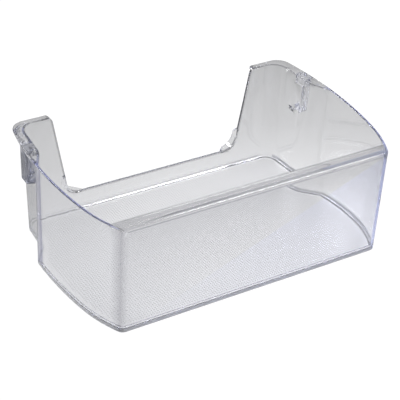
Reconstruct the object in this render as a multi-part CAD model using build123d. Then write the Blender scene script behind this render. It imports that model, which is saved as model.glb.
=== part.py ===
# Fridge door shelf: one clear moulded bin, open at the top, with a low back wall between two corner tabs.
# Lengths in millimetres, angles in degrees. X runs along the front, Y from front to back, Z up.
from build123d import *
from math import asin, cos, degrees, radians, sin, sqrt, tan
import os

# Overall
width = 319.5            # across the widest part of the rim
depth = 195.6            # front face to the outside of the back wall, at the rim
height = 110.0           # floor underside to rim
wall = 2.4
floor_thick = 2.6
draft = 0.4              # lean of the front and of the bowed ends

# Bowed ends, seen from above
widest_at = 114.2        # distance of the widest point from the front
bow_split = 45.9         # where the tighter front bow takes over from the long one
bow_radius = 391.5
bow_front_radius = 144.0
front_corner_radius = 8.2

# Recess in the rear of each end, under the rim flange
step_from_back = 71.6    # where the wall leaves the bow, from the back wall
recess_inset = 10.9
ramp_angle = 29.0        # how steeply the wall steps in
ramp_exit_radius = 30.0
ramp_inner_radius = 9.0  # rounds the step on the inside
recess_toe = 4.2         # the recessed wall closes in a little towards the back
recess_draft = 1.9       # lean of the recessed walls and of the back
rear_corner_radius = 17.3

# Rim flange over the recess and round the tabs
flange_reach = 3.8
flange_thick = 2.4
flange_corner_radius = 14.3
flange_end_radius = 3.6  # rounds the flange off at the tab's free edge

# Low back wall and the tab left standing at each rear corner
back_height = 20.6
tab_top = 111.0          # middle of the shelf to the tab's free edge, at the rim
tab_foot = 94.7          # the same, at the top of the back wall
tab_foot_radius = 15.0
lug_depth = 10.0         # stiffening lug behind the foot of each tab
lug_length = 30.0
lug_lift = 4.0           # its middle, up the tab from the corner
lug_thick = 2.4

# Lip along the top of the front wall
lip_width = 15.2
lip_thick = 2.4
lip_bend_radius = 3.5

# Hollow peg in each recess, which drops into the door's slot
peg_from_back = 37.3
peg_width = 16.0
peg_reach = 9.0          # out from the recessed wall
peg_length = 37.6        # below the flange, along the wall
peg_wall = 2.0
peg_draft = 1.2
peg_corner_radius = 4.0
peg_slope = 10.0         # the underside rises towards the nose
peg_cap = 6.3            # solid above the hollow
peg_end_radius = 3.0

# Edges
foot_radius = 1.5        # outside, round the underside
floor_radius = 5.0       # inside, floor to walls
rim_radius = 0.8

clear = 20.0             # how far cutting shapes run past the part
half_width = width / 2
overall_depth = depth + flange_reach
step_at = depth - step_from_back
peg_at = depth - peg_from_back
flange_under = height - flange_thick


def bow_x(along):
    # half width of the long bow at a distance from the front
    return half_width - bow_radius + sqrt(bow_radius ** 2 - (along - widest_at) ** 2)


def bow_turn(along):
    return degrees(asin(along / bow_radius))


def closed_with_mirror(side, front, back):
    # a right-hand side, its mirror image, and straight lines across at the front and the back
    half = Curve() + side
    across = [Line(end, (-end.X, end.Y)) for end in (front, back)]
    return make_face((half + mirror(half, Plane.YZ) + across).edges())


def round_corners(face, near, radius):
    # round the two mirrored corners that lie at a point
    corners = face.vertices().filter_by(lambda v: abs(abs(v.X) - near.X) + abs(v.Y - near.Y) < 0.01)
    return fillet(corners, radius)


def rim_outline():
    front_turn = bow_turn(widest_at - bow_split)
    rear_turn = bow_turn(overall_depth - widest_at)
    centre = (half_width - bow_radius, widest_at)
    long_bow = CenterArc(centre, bow_radius, -front_turn, front_turn + rear_turn)
    tight_turn = degrees(asin(sin(radians(front_turn)) + bow_split / bow_front_radius)) - front_turn
    tight_bow = JernArc(long_bow @ 0, -(long_bow % 0), bow_front_radius, -tight_turn)
    face = closed_with_mirror([tight_bow, long_bow], tight_bow @ 1, long_bow @ 1)
    face = round_corners(face, tight_bow @ 1, front_corner_radius)
    return round_corners(face, long_bow @ 1, flange_corner_radius)


def recess_wall(lean):
    # the step in and the recessed wall; the step's line starts well outside the bow
    inset = recess_inset + lean
    back = depth - lean
    heading = Vector(-sin(radians(ramp_angle)), cos(radians(ramp_angle)))
    run_out = clear / sin(radians(ramp_angle))
    exit_turn = cos(radians(recess_toe)) - cos(radians(ramp_angle))
    ramp_length = (inset - ramp_exit_radius * exit_turn) / sin(radians(ramp_angle))
    start = Vector(bow_x(step_at), step_at) - heading * run_out
    ramp = PolarLine(start, run_out + ramp_length, direction=heading)
    bend = JernArc(ramp @ 1, heading, ramp_exit_radius, recess_toe - ramp_angle)
    side = Line(bend @ 1, bend @ 1 + (bend % 1) * ((back - (bend @ 1).Y) / (bend % 1).Y))
    return [ramp, bend, side]


def recess_outline(lean):
    ramp, bend, side = recess_wall(lean)
    front = Vector((ramp @ 0).X, -clear)
    outline = closed_with_mirror([Line(front, ramp @ 0), ramp, bend, side], front, side @ 1)
    return round_corners(outline, side @ 1, rear_corner_radius)


def drafted(face, bottom):
    # a prism from the rim down, closing in downwards
    return extrude(Pos(0, 0, height) * face, height - bottom, dir=(0, 0, -1), taper=draft)


def recess_prism(shell):
    # all within the recessed walls; the step stays upright while side and back lean
    lean = height * tan(radians(recess_draft))
    rim = offset(recess_outline(0), -shell)
    foot = offset(recess_outline(lean), -shell)
    return loft([foot, Pos(0, 0, height) * rim], ruled=True)


def lower_edges(solid):
    return solid.edges().group_by(Axis.Z)[0]


def outer_block():
    # the bowed body, cut back behind the step up to the underside of the flange
    flange = Box(width + clear, 2 * (overall_depth + clear), height + clear,
                 align=(Align.CENTER, Align.CENTER, Align.MIN))
    block = drafted(rim_outline(), 0) & (recess_prism(0) + Pos(0, 0, flange_under) * flange)
    return fillet(lower_edges(block), foot_radius)


def cavity():
    # the inside, kept clear of the lip along the front
    inside = drafted(offset(rim_outline(), -wall), floor_thick) & recess_prism(wall)
    tall = inside.edges().filter_by(lambda e: e.length > height / 2)
    steps = tall.filter_by(lambda e: abs(e.center().Y - step_at) < recess_inset)
    inside = fillet(steps, ramp_inner_radius)
    inside = fillet(lower_edges(inside), floor_radius)
    lip = Box(width, lip_width + clear, lip_thick + clear, align=(Align.CENTER, Align.MAX, Align.MIN))
    return inside - Pos(0, lip_width, height - lip_thick) * lip


def lip_bend():
    # what is taken off to round the top of the front wall into the lip
    reach = lip_bend_radius + clear
    centre = Pos(lip_bend_radius, height - lip_bend_radius)
    square = Pos(-reach / 2, reach / 2) * Rectangle(reach, reach)
    profile = centre * square - centre * Circle(lip_bend_radius)
    return extrude(Plane.YZ * profile, half_width + clear, both=True)


def tab_edge():
    # direction of a tab's free edge, seen from the front
    return Vector(tab_top - tab_foot, height - back_height).normalized()


def back_opening():
    # seen from the front: between the tabs and above the low back wall
    top = (height + clear - back_height) / tab_edge().Y
    foot = Vector(tab_foot, back_height)
    head = foot + tab_edge() * top
    corners = [foot, head, (-head.X, head.Y), (-foot.X, foot.Y)]
    opening = make_face(Polyline(*corners, close=True).edges())
    return round_corners(opening, foot, tab_foot_radius)


def through_back(face, start, end):
    return extrude(Pos(0, start, 0) * (Plane.XZ * face), end - start, dir=(0, 1, 0))


def lugs():
    # a curved lug behind the foot of each tab, following the opening's rounded corner
    opening = back_opening()
    back_face = depth - (height - back_height) * tan(radians(recess_draft))
    strip = through_back(offset(opening, lug_thick) - opening, back_face - wall / 2, overall_depth)
    lens_radius = ((lug_length / 2) ** 2 + lug_depth ** 2) / (2 * lug_depth)
    inward = (tab_edge() + Vector(-1, 0)).normalized()
    middle = Vector(tab_foot, back_height) + tab_edge() * lug_lift
    lens_plane = Plane((middle.X, back_face + lug_depth - lens_radius, middle.Y),
                       z_dir=(inward.X, 0, inward.Y))
    lens = extrude(lens_plane * Circle(lens_radius), tab_foot_radius, both=True)
    return on_both_ends(strip & lens)


def peg_nose():
    bend = recess_wall(0)[1] @ 1
    return bend.X - tan(radians(recess_toe)) * (peg_at - bend.Y) + peg_reach


def peg_bar(shell, top):
    # a bar running inwards into the space, with a rounded nose and an underside that rises towards it
    bar = Rectangle(clear, peg_width - 2 * shell, align=(Align.MAX, Align.CENTER))
    plan = fillet(bar.vertices().sort_by(Axis.X)[-2:], peg_corner_radius - shell)
    plan = Pos(peg_nose() - shell, peg_at, top) * plan
    solid = extrude(plan, peg_length + clear, dir=(0, 0, -1), taper=peg_draft)
    foot = (peg_nose() - peg_reach, peg_at, flange_under - peg_length + shell)
    underside = Plane(foot, z_dir=(-sin(radians(peg_slope)), 0, cos(radians(peg_slope))))
    return split(solid, bisect_by=underside, keep=Keep.TOP)


def pegs():
    bar = peg_bar(0, flange_under)
    underside = bar.faces().sort_by(Axis.Z)[0]
    rounded = underside.edges().sort_by(Axis.X)[1:]
    return on_both_ends(fillet(rounded, peg_end_radius))


def peg_hollows():
    return on_both_ends(peg_bar(peg_wall, flange_under - peg_cap))


def on_both_ends(solid):
    return solid + mirror(solid, Plane.YZ)


def flange_ends(solid):
    # the upright edges where the back flange stops at the tabs
    outermost = solid.edges().filter_by(lambda e: e.center().Y > depth + flange_reach / 2)
    upright = outermost.filter_by(lambda e: e.length < 2 * flange_thick)
    return upright.sort_by(lambda e: abs(e.center().X))[:2]


def door_shelf():
    shelf = outer_block() + pegs() - cavity()
    shelf = shelf - through_back(back_opening(), depth - clear, overall_depth + clear)
    shelf = fillet(flange_ends(shelf), flange_end_radius)
    shelf = fillet(shelf.edges().group_by(Axis.Z)[-1], rim_radius)
    shelf = shelf - lip_bend() - peg_hollows() + lugs()
    return Pos(0, -overall_depth / 2, 0) * shelf


shelf = door_shelf()
shelf.label = "door_shelf"
os.makedirs("parts", exist_ok=True)
export_step(shelf, "parts/door_shelf.step")
print("door shelf: volume", round(shelf.volume), "solids", len(shelf.solids()), "valid", shelf.is_valid)
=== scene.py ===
# Fridge door shelf, one clear moulded piece on a white table.
from math import atan2, cos, radians, sin, tan

import bmesh
import bpy
from mathutils import Matrix, Vector


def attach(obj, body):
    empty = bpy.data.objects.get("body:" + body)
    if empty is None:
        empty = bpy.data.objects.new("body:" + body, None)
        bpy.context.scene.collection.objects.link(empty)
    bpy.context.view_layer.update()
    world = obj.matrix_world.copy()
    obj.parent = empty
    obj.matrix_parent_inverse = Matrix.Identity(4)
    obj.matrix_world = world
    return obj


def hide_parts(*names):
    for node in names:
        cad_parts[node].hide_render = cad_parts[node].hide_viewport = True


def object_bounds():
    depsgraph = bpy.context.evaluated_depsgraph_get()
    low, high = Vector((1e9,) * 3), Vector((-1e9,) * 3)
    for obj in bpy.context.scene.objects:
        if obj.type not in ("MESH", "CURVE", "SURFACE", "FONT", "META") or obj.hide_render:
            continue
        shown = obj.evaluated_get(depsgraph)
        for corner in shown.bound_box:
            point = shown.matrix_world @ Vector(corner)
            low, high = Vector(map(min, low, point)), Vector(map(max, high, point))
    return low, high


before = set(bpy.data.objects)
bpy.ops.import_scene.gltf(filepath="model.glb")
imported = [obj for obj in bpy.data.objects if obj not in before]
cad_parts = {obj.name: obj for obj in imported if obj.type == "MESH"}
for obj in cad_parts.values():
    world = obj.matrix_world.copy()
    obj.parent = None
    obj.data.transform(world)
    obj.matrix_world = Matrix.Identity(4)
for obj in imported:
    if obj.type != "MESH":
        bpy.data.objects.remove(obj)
cadLow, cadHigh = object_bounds()
scene = bpy.context.scene
scene.view_settings.view_transform = "Standard"
scene.cycles.max_bounces = 40  # light runs a long way inside clear walls
scene.cycles.transmission_bounces = 40
scene.cycles.glossy_bounces = 24
print("loaded", sorted(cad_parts))


def newMaterial(name):
    material = bpy.data.materials.new(name)
    material.use_nodes = True
    material.node_tree.nodes.clear()
    return material, material.node_tree.nodes, material.node_tree.links


# clear plastic
plastic = {
    # plain tint of the plastic, used where no shade is painted
    "tintAndShade": (0.94, 0.941, 0.95, 1.0),
    "clear": 0.97,  # the rest is a faint haze
    "roughness": 0.02,
    "ior": 1.57,
    "absorb": (0.45, 0.50, 0.78, 1.0),
    "density": 9.0,
    "dotClear": 0.80,
    "footClear": 0.40, "footHigh": 0.0046,
}


def clearPlastic(name, clear):
    material, nodes, links = newMaterial(name)
    output = nodes.new("ShaderNodeOutputMaterial")
    body = nodes.new("ShaderNodeBsdfPrincipled")
    # Base Color reads the vertex colour, which holds the plain tint and the painted shade
    tintAndShade = nodes.new("ShaderNodeVertexColor")
    tintAndShade.layer_name = "tintAndShade"
    links.new(tintAndShade.outputs["Color"], body.inputs["Base Color"])
    body.inputs["Roughness"].default_value = plastic["roughness"]
    body.inputs["IOR"].default_value = plastic["ior"]
    body.inputs["Transmission Weight"].default_value = clear
    through = nodes.new("ShaderNodeBsdfTransparent")
    through.inputs["Color"].default_value = plastic["tintAndShade"]
    path = nodes.new("ShaderNodeLightPath")
    mix = nodes.new("ShaderNodeMixShader")
    links.new(path.outputs["Is Shadow Ray"], mix.inputs[0])
    links.new(body.outputs[0], mix.inputs[1])
    links.new(through.outputs[0], mix.inputs[2])
    links.new(mix.outputs[0], output.inputs["Surface"])
    absorb = nodes.new("ShaderNodeVolumeAbsorption")
    absorb.inputs["Color"].default_value = plastic["absorb"]
    absorb.inputs["Density"].default_value = plastic["density"]
    links.new(absorb.outputs[0], output.inputs["Volume"])
    return material


# fine dots moulded into the inside of the floor
dots = {"level": 0.0026, "pitch": 0.0026, "height": 0.0003, "margin": 0.0022, "wide": 0.5}


def dotTree():
    tree = bpy.data.node_groups.new("floorDots", "GeometryNodeTree")
    sockets = tree.interface
    sockets.new_socket("Floor", in_out="INPUT", socket_type="NodeSocketGeometry")
    for name in ("Pitch", "Height", "Margin", "Wide"):
        sockets.new_socket(name, in_out="INPUT", socket_type="NodeSocketFloat")
    for name in ("Floor Finish", "Dot Finish"):
        sockets.new_socket(name, in_out="INPUT", socket_type="NodeSocketMaterial")
    sockets.new_socket("Dots", in_out="OUTPUT", socket_type="NodeSocketGeometry")
    nodes, link = tree.nodes, tree.links.new
    given = nodes.new("NodeGroupInput").outputs
    pitch = given["Pitch"]

    def vectorMath(operation, first, second=None):
        node = nodes.new("ShaderNodeVectorMath")
        node.operation = operation
        link(first, node.inputs[0])
        if second is not None:
            link(second, node.inputs[1])
        return node

    def number(operation, first, second):
        node = nodes.new("ShaderNodeMath")
        node.operation = operation
        for socket, value in zip(node.inputs, (first, second)):
            if isinstance(value, float):
                socket.default_value = value
            else:
                link(value, socket)
        return node.outputs[0]

    # one point for each dot, over the whole floor
    box = nodes.new("GeometryNodeBoundBox")
    link(given["Floor"], box.inputs["Geometry"])
    span = vectorMath("SUBTRACT", box.outputs["Max"], box.outputs["Min"]).outputs[0]
    count = nodes.new("ShaderNodeSeparateXYZ")
    link(vectorMath("FLOOR", vectorMath("DIVIDE", span, pitch).outputs[0]).outputs[0], count.inputs[0])
    points = nodes.new("GeometryNodeMeshGrid")
    for axis in "XY":
        link(count.outputs[axis], points.inputs["Vertices " + axis])
        gaps = number("SUBTRACT", count.outputs[axis], 1.0)
        link(number("MULTIPLY", gaps, pitch), points.inputs["Size " + axis])
    middle = vectorMath("SCALE", vectorMath("ADD", box.outputs["Max"], box.outputs["Min"]).outputs[0])
    middle.inputs["Scale"].default_value = 0.5
    placed = nodes.new("GeometryNodeTransform")
    link(points.outputs["Mesh"], placed.inputs["Geometry"])
    link(middle.outputs[0], placed.inputs["Translation"])

    # only those on the floor and clear of its edge
    sides = nodes.new("GeometryNodeInputMeshEdgeNeighbors")
    rim = nodes.new("GeometryNodeSeparateGeometry")
    rim.domain = "EDGE"
    link(given["Floor"], rim.inputs["Geometry"])
    link(number("LESS_THAN", sides.outputs["Face Count"], 1.5), rim.inputs["Selection"])
    near = nodes.new("GeometryNodeProximity")
    near.target_element = "EDGES"
    link(rim.outputs["Selection"], near.inputs["Geometry"])
    here = nodes.new("GeometryNodeInputPosition").outputs[0]
    above = vectorMath("ADD", here)
    above.inputs[1].default_value = (0, 0, 0.001)
    drop = nodes.new("GeometryNodeRaycast")
    link(given["Floor"], drop.inputs["Target Geometry"])
    link(above.outputs[0], drop.inputs["Source Position"])
    drop.inputs["Ray Direction"].default_value = (0, 0, -1)
    drop.inputs["Ray Length"].default_value = 0.01
    clear = number("GREATER_THAN", near.outputs["Distance"], given["Margin"])
    keep = number("MULTIPLY", clear, drop.outputs["Is Hit"])

    # a square of floor with its middle raised
    square = nodes.new("GeometryNodeMeshGrid")
    for axis in "XY":
        link(pitch, square.inputs["Size " + axis])
        square.inputs["Vertices " + axis].default_value = 4
    off = nodes.new("ShaderNodeSeparateXYZ")
    link(vectorMath("ABSOLUTE", here).outputs[0], off.inputs[0])
    outermost = number("MAXIMUM", off.outputs["X"], off.outputs["Y"])
    lift = nodes.new("ShaderNodeCombineXYZ")
    link(given["Height"], lift.inputs["Z"])
    inner = number("LESS_THAN", outermost, number("MULTIPLY", pitch, 0.25))
    marked = nodes.new("GeometryNodeStoreNamedAttribute")
    marked.data_type = "BOOLEAN"
    marked.domain = "FACE"
    marked.inputs["Name"].default_value = "dot"
    link(square.outputs["Mesh"], marked.inputs["Geometry"])
    link(number("LESS_THAN", outermost, number("MULTIPLY", pitch, 0.12)), marked.inputs["Value"])
    spread = vectorMath("SCALE", here)  # inner corners sit at a sixth of the pitch before they move out
    link(number("SUBTRACT", number("MULTIPLY", given["Wide"], 3.0), 1.0), spread.inputs["Scale"])
    raised = nodes.new("GeometryNodeSetPosition")
    link(marked.outputs[0], raised.inputs["Geometry"])
    link(inner, raised.inputs["Selection"])
    link(vectorMath("ADD", spread.outputs[0], lift.outputs[0]).outputs[0], raised.inputs["Offset"])

    squares = nodes.new("GeometryNodeInstanceOnPoints")
    link(placed.outputs[0], squares.inputs["Points"])
    link(keep, squares.inputs["Selection"])
    link(raised.outputs[0], squares.inputs["Instance"])
    realize = nodes.new("GeometryNodeRealizeInstances")
    link(squares.outputs[0], realize.inputs[0])
    joined = nodes.new("GeometryNodeMergeByDistance")
    link(realize.outputs[0], joined.inputs["Geometry"])
    link(number("MULTIPLY", pitch, 0.02), joined.inputs["Distance"])
    plain = nodes.new("GeometryNodeSetMaterial")
    link(joined.outputs[0], plain.inputs["Geometry"])
    link(given["Floor Finish"], plain.inputs["Material"])
    onDot = nodes.new("GeometryNodeInputNamedAttribute")
    onDot.data_type = "BOOLEAN"
    onDot.inputs["Name"].default_value = "dot"
    matte = nodes.new("GeometryNodeSetMaterial")
    link(plain.outputs[0], matte.inputs["Geometry"])
    link(onDot.outputs["Attribute"], matte.inputs["Selection"])
    link(given["Dot Finish"], matte.inputs["Material"])
    link(matte.outputs[0], nodes.new("NodeGroupOutput").inputs[0])
    return tree


def dotPatch(floorMesh, clearFinish, dotFinish):
    floor = bpy.data.objects.new("floorArea", floorMesh)
    scene.collection.objects.link(floor)
    tree = dotTree()
    modifier = floor.modifiers.new("floorDots", "NODES")
    modifier.node_group = tree
    sizes = {
        "Pitch": dots["pitch"], "Height": dots["height"], "Margin": dots["margin"], "Wide": dots["wide"],
        "Floor Finish": clearFinish, "Dot Finish": dotFinish,
    }
    for item in tree.interface.items_tree:
        if item.name in sizes:
            modifier[item.identifier] = sizes[item.name]
    patch = bpy.data.meshes.new_from_object(floor.evaluated_get(bpy.context.evaluated_depsgraph_get()))
    bpy.data.objects.remove(floor)
    return patch


# painted shade where the plastic reads darker from refraction and thickness: thick corners, cut edges,
# the rim, the floor line, the left peg, step and recess, with a painted violet cast on the side rims and
# the right corner; "dot" is the dots' own tone
paintedShadeAndDotTone = {
    "lip": (0.68, 0.68, 0.685), "lipEdge": (0.36, 0.36, 0.38),
    "flange": (0.74, 0.74, 0.75), "rimEdge": (0.40, 0.40, 0.43), "sideRim": (0.58, 0.60, 0.92),
    "cutEdge": (0.28, 0.28, 0.30), "edgeBand": (0.60, 0.60, 0.61),
    "floorLine": (0.24, 0.24, 0.28),
    "peg": (0.46, 0.47, 0.52), "recess": (0.50, 0.50, 0.51), "step": (0.32, 0.32, 0.44),
    "cornerLeft": (0.48, 0.475, 0.50), "cornerRight": (0.36, 0.43, 0.92),
    "dot": (0.62, 0.62, 0.64),
}

# where they lie, in metres from the middle of the shelf and up from its underside
zones = {
    "back": 0.085, "backFlange": 0.0038, "backLean": 0.0332,
    "tabTop": (0.111, 0.110), "tabFoot": (0.0947, 0.0206), "tabTo": 0.119,
    "lugTop": 0.06, "lugSlack": 0.0004,
    "bandWide": 0.0016, "tabBandFrom": 0.036, "backBandTo": 0.086, "edgeSlack": 0.001,
    "rim": 0.1074, "rimEdge": 0.1091, "side": 0.140, "sideTo": 0.03,
    "lip": -0.08, "lipBack": -0.0862, "lipFront": -0.095, "lipEdge": 0.106,
    "floorLine": (0.0031, 0.0046), "floorFront": -0.088, "floorLeft": (-0.12, 0.02),
    "peg": 0.1492, "pegAlong": (0.050, 0.0675), "pegFrom": 0.066,
    "underPegAlong": (0.048, 0.07), "underPegTo": 0.0775,
    "step": (0.0145, 0.044), "recessTo": 0.082,
    "cornerAt": (0.1385, -0.0968), "cornerReach": (0.0078, 0.0098),
}


def sideways(place, normal):
    # how far a face looks away from the middle of the shelf
    return normal.x if place.x > 0 else -normal.x


def tabLine(height):
    # half the gap between the tabs' free edges
    (topX, topZ), (footX, footZ) = zones["tabTop"], zones["tabFoot"]
    return footX + (height - footZ) * (topX - footX) / (topZ - footZ)


def backLine(height):
    # outside of the back wall, which leans
    return cadHigh[1] - zones["backFlange"] - (cadHigh[2] - height) * zones["backLean"]


def backPaintedShade(place, normal):
    # painted shade on the free edges of the tabs and the low back wall, and a lighter painted shade band
    # beside them
    x, y, z = abs(place.x), place.y, place.z
    footZ = zones["tabFoot"][1]
    if y <= zones["back"]:
        return None
    onLug = z < zones["lugTop"] and y > backLine(z) - zones["lugSlack"]
    freeEdge = abs(normal.y) < 0.3 and sideways(place, normal) < -0.15 and x < zones["tabTo"]
    lowEdge = normal.z > 0.8 and abs(z - footZ) < zones["edgeSlack"] and y < backLine(z)
    if freeEdge and not onLug or lowEdge:
        return paintedShadeAndDotTone["cutEdge"]
    besideTab = z > zones["tabBandFrom"] and x < tabLine(z) + zones["bandWide"]
    besideBack = x < zones["backBandTo"] and z > footZ - zones["bandWide"]
    if abs(normal.y) > 0.9 and z < zones["rim"] and (besideTab or besideBack):
        return paintedShadeAndDotTone["edgeBand"]
    return None


def rimPaintedShade(place, normal):
    # painted shade on the lip, the flange and their edges, and a painted violet cast on the side rims
    x, y, z = abs(place.x), place.y, place.z
    if z > zones["rim"] and normal.z > 0.3 and x > zones["side"] and y < zones["sideTo"]:
        return paintedShadeAndDotTone["sideRim"]
    if z > zones["rimEdge"] and 0.2 < normal.z < 0.97 and y > zones["lipBack"]:
        return paintedShadeAndDotTone["rimEdge"]
    if z > zones["lipEdge"] and y < zones["lipFront"] and 0.08 < normal.z < 0.5:
        return paintedShadeAndDotTone["lipEdge"]
    if z > zones["rim"]:
        return paintedShadeAndDotTone["lip"] if y < zones["lip"] else paintedShadeAndDotTone["flange"]
    return None


def endPaintedShade(place, normal):
    # painted shade on the line round the floor, then on the left end's peg, step and recess
    x, y, z = place
    lineLow, lineHigh = zones["floorLine"]
    leftFrom, leftTo = zones["floorLeft"]
    alongLine = y < zones["floorFront"] or (x < leftFrom and y < leftTo)
    if lineLow < z < lineHigh and 0.6 < normal.z < 0.985 and alongLine:
        return paintedShadeAndDotTone["floorLine"]
    pegLow, pegHigh = zones["pegAlong"]
    if x < -zones["peg"] and pegLow < y < pegHigh and z > zones["pegFrom"]:
        return paintedShadeAndDotTone["peg"]
    stepLow, stepHigh = zones["step"]
    if x < 0 and normal.x < -0.25 and abs(normal.z) < 0.3 and z > plastic["footHigh"]:
        if stepLow < y < stepHigh:
            return paintedShadeAndDotTone["step"]
        if stepHigh < y < zones["recessTo"]:
            return paintedShadeAndDotTone["recess"]
    return None


def tintOrPaintedShadeAt(place, normal):
    # the painted shade of a zone, else the plastic's plain tint
    found = backPaintedShade(place, normal) or rimPaintedShade(place, normal) or endPaintedShade(place, normal)
    return found or plastic["tintAndShade"][:3]


def cornerShare(place):
    # how close a point is to the upright line of a front corner, for the soft painted shade band there
    gap = (Vector((abs(place.x), place.y)) - Vector(zones["cornerAt"])).length
    foot, head = zones["cornerReach"]
    return max(0.0, 1.0 - gap / (foot + (head - foot) * place.z / cadHigh[2]))


def paintTintAndShade(mesh):
    # painted shade from the zones, plus a soft painted shade band down each front corner (violet on the
    # right), goes into the vertex colour; dot faces take the dots' own tone
    layer = mesh.color_attributes.new("tintAndShade", "FLOAT_COLOR", "CORNER")
    for face in mesh.polygons:
        tintAndShade = paintedShadeAndDotTone["dot"] if face.material_index == 1 else tintOrPaintedShadeAt(face.center, face.normal)
        outside = sideways(face.center, face.normal) - face.normal.y > 0.3 and abs(face.normal.z) < 0.05
        corner = paintedShadeAndDotTone["cornerLeft"] if face.center.x < 0 else paintedShadeAndDotTone["cornerRight"]
        for loop in face.loop_indices:
            place = mesh.vertices[mesh.loops[loop].vertex_index].co
            share = cornerShare(place) if outside else 0.0
            mixed = Vector(tintAndShade).lerp(Vector(corner), share)
            layer.data[loop].color = (*mixed, 1.0)


# upper corner of each tab's free edge
tabs = {
    "round": 0.007, "steps": 10, "near": 0.080, "far": 0.105,
    "over": 0.005, "past": 0.01, "under": 0.0005,
}


def tabCutter():
    # what is taken off to round the corners
    (topX, topZ), (footX, footZ) = zones["tabTop"], zones["tabFoot"]
    radius, steps = tabs["round"], tabs["steps"]
    lean = atan2(topX - footX, topZ - footZ)
    middleX = topX + radius * tan(radians(45) - lean / 2)
    middleZ = topZ - radius
    turns = [radians(90) + (radians(90) - lean) * step / steps for step in range(steps + 1)]
    outline = [(middleX + radius * cos(turn), middleZ + radius * sin(turn)) for turn in turns]
    aboveZ = topZ + tabs["over"]
    pastX = topX - tabs["past"]
    outline += [(pastX, outline[-1][1] - tabs["under"]), (pastX, aboveZ), (middleX, aboveZ)]
    work = bmesh.new()
    for side in (-1, 1):
        near = [work.verts.new((side * x, tabs["near"], z)) for x, z in outline]
        far = [work.verts.new((side * x, tabs["far"], z)) for x, z in outline]
        work.faces.new(near)
        work.faces.new(far)
        for number in range(len(outline)):
            work.faces.new((near[number - 1], near[number], far[number], far[number - 1]))
    bmesh.ops.recalc_face_normals(work, faces=work.faces)
    mesh = bpy.data.meshes.new("tabCutter")
    work.to_mesh(mesh)
    work.free()
    return mesh


def tabsRounded(mesh):
    cutter = bpy.data.objects.new("tabCutter", tabCutter())
    whole = bpy.data.objects.new("tabWhole", mesh)
    scene.collection.objects.link(cutter)
    scene.collection.objects.link(whole)
    cut = whole.modifiers.new("roundTabs", "BOOLEAN")
    cut.operation = "DIFFERENCE"
    cut.solver = "EXACT"
    cut.object = cutter
    rounded = bpy.data.meshes.new_from_object(whole.evaluated_get(bpy.context.evaluated_depsgraph_get()))
    bpy.data.objects.remove(whole)
    bpy.data.objects.remove(cutter)
    return rounded


def cutAlong(work, wanted, point, normal):
    # a cut across some of the faces, for a painted shade to end at
    faces = [face for face in work.faces if wanted(face.calc_center_median(), face.normal)]
    parts = list({part for face in faces for part in (face, *face.edges, *face.verts)})
    bmesh.ops.bisect_plane(work, geom=parts, plane_co=point, plane_no=normal)


def cutForPaintedShade(work):
    def backWall(place, normal):
        return abs(normal.y) > 0.9 and place.y > zones["back"]

    def outerWall(place, normal):
        end = sideways(place, normal) > 0.25 and abs(place.x) > 0.12
        front = normal.y < -0.3 and place.y < -0.09
        return (end or front) and abs(normal.z) < 0.2 and place.z < 0.09

    def leftEnd(place, normal):
        return normal.x < -0.25 and abs(normal.z) < 0.3 and place.x < -0.12 and -0.03 < place.y < 0.05

    (topX, topZ), (footX, footZ) = zones["tabTop"], zones["tabFoot"]
    for side in (-1, 1):
        across = (side * (topZ - footZ), 0, footX - topX)
        cutAlong(work, backWall, (side * (topX + zones["bandWide"]), 0, topZ), across)
    cutAlong(work, backWall, (0, 0, footZ - zones["bandWide"]), (0, 0, 1))
    cutAlong(work, outerWall, (0, 0, plastic["footHigh"]), (0, 0, 1))
    cutAlong(work, leftEnd, (0, zones["step"][0], 0), (0, 1, 0))


def isSoft(face):
    # the outside just above the table and the undersides of the pegs
    place = face.calc_center_median()
    outside = sideways(place, face.normal) - face.normal.y > 0.2
    low = 1e-5 < place.z < plastic["footHigh"] and face.normal.z < 0.2
    pegLow, pegHigh = zones["underPegAlong"]
    onPeg = abs(place.x) > zones["peg"] and pegLow < place.y < pegHigh and place.z < zones["underPegTo"]
    return low and outside or onPeg and face.normal.z < -0.1


def dotFloor(work, material, dotMaterial):
    # swap the plain floor for the dotted one and close the strip round it
    def onFloor(face):
        return face.normal.z > 0.9 and all(abs(v.co.z - dots["level"]) < 1e-6 for v in face.verts)

    flat = work.copy()
    bmesh.ops.delete(flat, geom=[face for face in flat.faces if not onFloor(face)], context="FACES")
    floorMesh = bpy.data.meshes.new("floorArea")
    flat.to_mesh(floorMesh)
    flat.free()
    bmesh.ops.delete(work, geom=[face for face in work.faces if onFloor(face)], context="FACES")
    patch = dotPatch(floorMesh, material, dotMaterial)
    slots = {0: 0, 1: 0, 2: 1}  # empty, clear floor and dot in the tree's own order
    for face in patch.polygons:
        face.material_index = slots[face.material_index]
    work.from_mesh(patch)
    print("dots", len(patch.polygons), "faces")
    edge = [e for e in work.edges if e.is_boundary]
    filled = bmesh.ops.triangle_fill(work, edges=edge, use_beauty=True, normal=(0, 0, 1))["geom"]
    for face in filled:
        if isinstance(face, bmesh.types.BMFace):
            face.material_index = 0
    print("open edges", sum(not e.is_manifold for e in work.edges))


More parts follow.
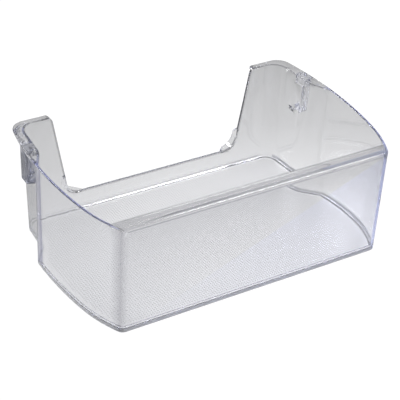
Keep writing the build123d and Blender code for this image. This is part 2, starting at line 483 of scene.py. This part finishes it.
def shelfBody():
    material = clearPlastic("clearPlastic", plastic["clear"])
    dotMaterial = clearPlastic("matteDots", plastic["dotClear"])
    footMaterial = clearPlastic("softFoot", plastic["footClear"])
    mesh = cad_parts["door_shelf"].data.copy()
    mesh.name = "shelfBody"
    merged = bmesh.new()
    merged.from_mesh(mesh)
    bmesh.ops.remove_doubles(merged, verts=merged.verts, dist=1e-6)
    merged.to_mesh(mesh)
    merged.free()
    work = bmesh.new()
    work.from_mesh(tabsRounded(mesh))
    cutForPaintedShade(work)
    for face in work.faces:
        face.material_index = 2 if isSoft(face) else 0
    dotFloor(work, material, dotMaterial)
    for face in work.faces:
        face.smooth = True
    mesh.materials.clear()  # before the faces are written, because it resets their slots
    for finish in (material, dotMaterial, footMaterial):
        mesh.materials.append(finish)
    work.to_mesh(mesh)
    work.free()
    mesh.set_sharp_from_angle(angle=radians(32))
    paintTintAndShade(mesh)
    shelf = bpy.data.objects.new("shelf_body", mesh)
    scene.collection.objects.link(shelf)
    weighted = shelf.modifiers.new("flatWalls", "WEIGHTED_NORMAL")
    weighted.keep_sharp = True
    return shelf


shelf = shelfBody()
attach(shelf, "root")
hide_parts("door_shelf")
print("shelf body", len(shelf.data.polygons), "faces")

# pale table, white to the camera, a pool of light round the shelf
table = {
    "size": 6.0, "drop": 0.0004, "colour": (0.80, 0.80, 0.80, 1.0), "shade": 0.12, "belowWhite": 0.02,
    "pool": [(0.10, 1.08), (0.225, 1.00), (0.30, 0.84), (0.45, 0.66), (0.90, 0.45)],
    "poolAt": (0.03, -0.035, 0.0), "poolSize": (0.64, 0.48, 1.0),
}


def whiteTable():
    material, nodes, links = newMaterial("tableWhite")
    output = nodes.new("ShaderNodeOutputMaterial")
    path = nodes.new("ShaderNodeLightPath")
    diffuse = nodes.new("ShaderNodeBsdfDiffuse")
    diffuse.inputs["Color"].default_value = table["colour"]
    glow = nodes.new("ShaderNodeEmission")
    where = nodes.new("ShaderNodeTexCoord")
    reach = nodes.new("ShaderNodeVectorMath")
    reach.operation = "LENGTH"
    oval = nodes.new("ShaderNodeMapping")
    oval.vector_type = "TEXTURE"
    links.new(where.outputs["Object"], oval.inputs["Vector"])
    oval.inputs["Location"].default_value = table["poolAt"]
    oval.inputs["Scale"].default_value = table["poolSize"]
    links.new(oval.outputs[0], reach.inputs[0])
    pool = nodes.new("ShaderNodeFloatCurve")
    curve = pool.mapping.curves[0]
    while len(curve.points) < len(table["pool"]):
        curve.points.new(0.5, 0.5)
    for point, (distance, tone) in zip(curve.points, table["pool"]):
        point.location = (distance, tone)
        point.handle_type = "VECTOR"
    pool.mapping.extend = "HORIZONTAL"
    pool.mapping.clip_max_y = 2.0
    pool.mapping.update()
    links.new(reach.outputs["Value"], pool.inputs["Value"])
    tone = nodes.new("ShaderNodeMapRange")
    links.new(path.outputs["Is Camera Ray"], tone.inputs["Value"])
    links.new(pool.outputs[0], tone.inputs["To Min"])
    tone.inputs["To Max"].default_value = 1 / (1 - table["shade"]) - table["belowWhite"]
    links.new(tone.outputs["Result"], glow.inputs["Strength"])
    seen = nodes.new("ShaderNodeMath")
    seen.operation = "MAXIMUM"
    links.new(path.outputs["Is Camera Ray"], seen.inputs[0])
    links.new(path.outputs["Is Glossy Ray"], seen.inputs[1])
    anyRay = nodes.new("ShaderNodeMath")
    anyRay.operation = "MAXIMUM"
    links.new(seen.outputs[0], anyRay.inputs[0])
    links.new(path.outputs["Is Transmission Ray"], anyRay.inputs[1])
    share = nodes.new("ShaderNodeMath")
    share.operation = "MULTIPLY"
    links.new(anyRay.outputs[0], share.inputs[0])
    share.inputs[1].default_value = 1 - table["shade"]
    mix = nodes.new("ShaderNodeMixShader")
    links.new(share.outputs[0], mix.inputs[0])
    links.new(diffuse.outputs[0], mix.inputs[1])
    links.new(glow.outputs[0], mix.inputs[2])
    links.new(mix.outputs[0], output.inputs["Surface"])
    half = table["size"] / 2
    mesh = bpy.data.meshes.new("tableTop")
    corners = [(-half, -half, -table["drop"]), (half, -half, -table["drop"]),
               (half, half, -table["drop"]), (-half, half, -table["drop"])]
    mesh.from_pydata(corners, [], [(0, 1, 2, 3)])
    mesh.materials.append(material)
    top = bpy.data.objects.new("table_top", mesh)
    scene.collection.objects.link(top)
    return top


whiteTable()

# studio light: darker round the sides, brighter overhead
light = {
    "sky": [(0.0, 0.70), (0.55, 0.30), (0.78, 0.25), (1.0, 0.40)],
    "lamps": [
        {"at": (0.56, -0.16, 1.05), "power": 5.0, "size": (0.34, 0.40)},
        {"at": (-0.42, 0.84, 0.72), "power": 3.5, "size": (0.40, 0.24)},
    ],
}


def studioLight():
    world = bpy.data.worlds.new("studio")
    world.use_nodes = True
    scene.world = world
    nodes, links = world.node_tree.nodes, world.node_tree.links
    where = nodes.new("ShaderNodeTexCoord")
    split = nodes.new("ShaderNodeSeparateXYZ")
    links.new(where.outputs["Generated"], split.inputs[0])
    ramp = nodes.new("ShaderNodeValToRGB")
    stops = ramp.color_ramp.elements
    while len(stops) < len(light["sky"]):
        stops.new(0.5)
    for stop, (height, tone) in zip(stops, light["sky"]):
        stop.position = height
        stop.color = (tone, tone, tone, 1.0)
    links.new(split.outputs["Z"], ramp.inputs[0])
    links.new(ramp.outputs[0], nodes["Background"].inputs["Color"])
    for number, lamp in enumerate(light["lamps"]):
        data = bpy.data.lights.new("lamp%d" % number, "AREA")
        data.shape = "RECTANGLE"
        data.energy = lamp["power"]
        data.size, data.size_y = lamp["size"]
        item = bpy.data.objects.new("lamp%d" % number, data)
        item.location = lamp["at"]
        item.rotation_euler = (-Vector(lamp["at"])).to_track_quat("-Z", "Y").to_euler()
        scene.collection.objects.link(item)


studioLight()

# camera, at the photograph's viewing angle
view = {
    "azimuth": 32.695, "elevation": 33.649, "roll": -3.431,
    "at": (-0.55623, -0.86501, 0.72979), "focal": 117.05, "sensor": 36.0, "shift": (-0.0012, -0.0127),
}


def photoCamera():
    azimuth, elevation, roll = (radians(view[key]) for key in ("azimuth", "elevation", "roll"))
    forward = Vector((sin(azimuth) * cos(elevation), cos(azimuth) * cos(elevation), -sin(elevation)))
    level = Vector((cos(azimuth), -sin(azimuth), 0))
    fall = forward.cross(level)
    right = level * cos(roll) + fall * sin(roll)
    up = level * sin(roll) - fall * cos(roll)
    lens = bpy.data.cameras.new("photoCamera")
    lens.lens = view["focal"]
    lens.sensor_width = view["sensor"]
    lens.shift_x, lens.shift_y = view["shift"]
    camera = bpy.data.objects.new("photoCamera", lens)
    turn = Matrix((right, up, -forward)).transposed().to_4x4()
    camera.matrix_world = Matrix.Translation(view["at"]) @ turn
    scene.collection.objects.link(camera)
    scene.camera = camera


photoCamera()
print("camera set")
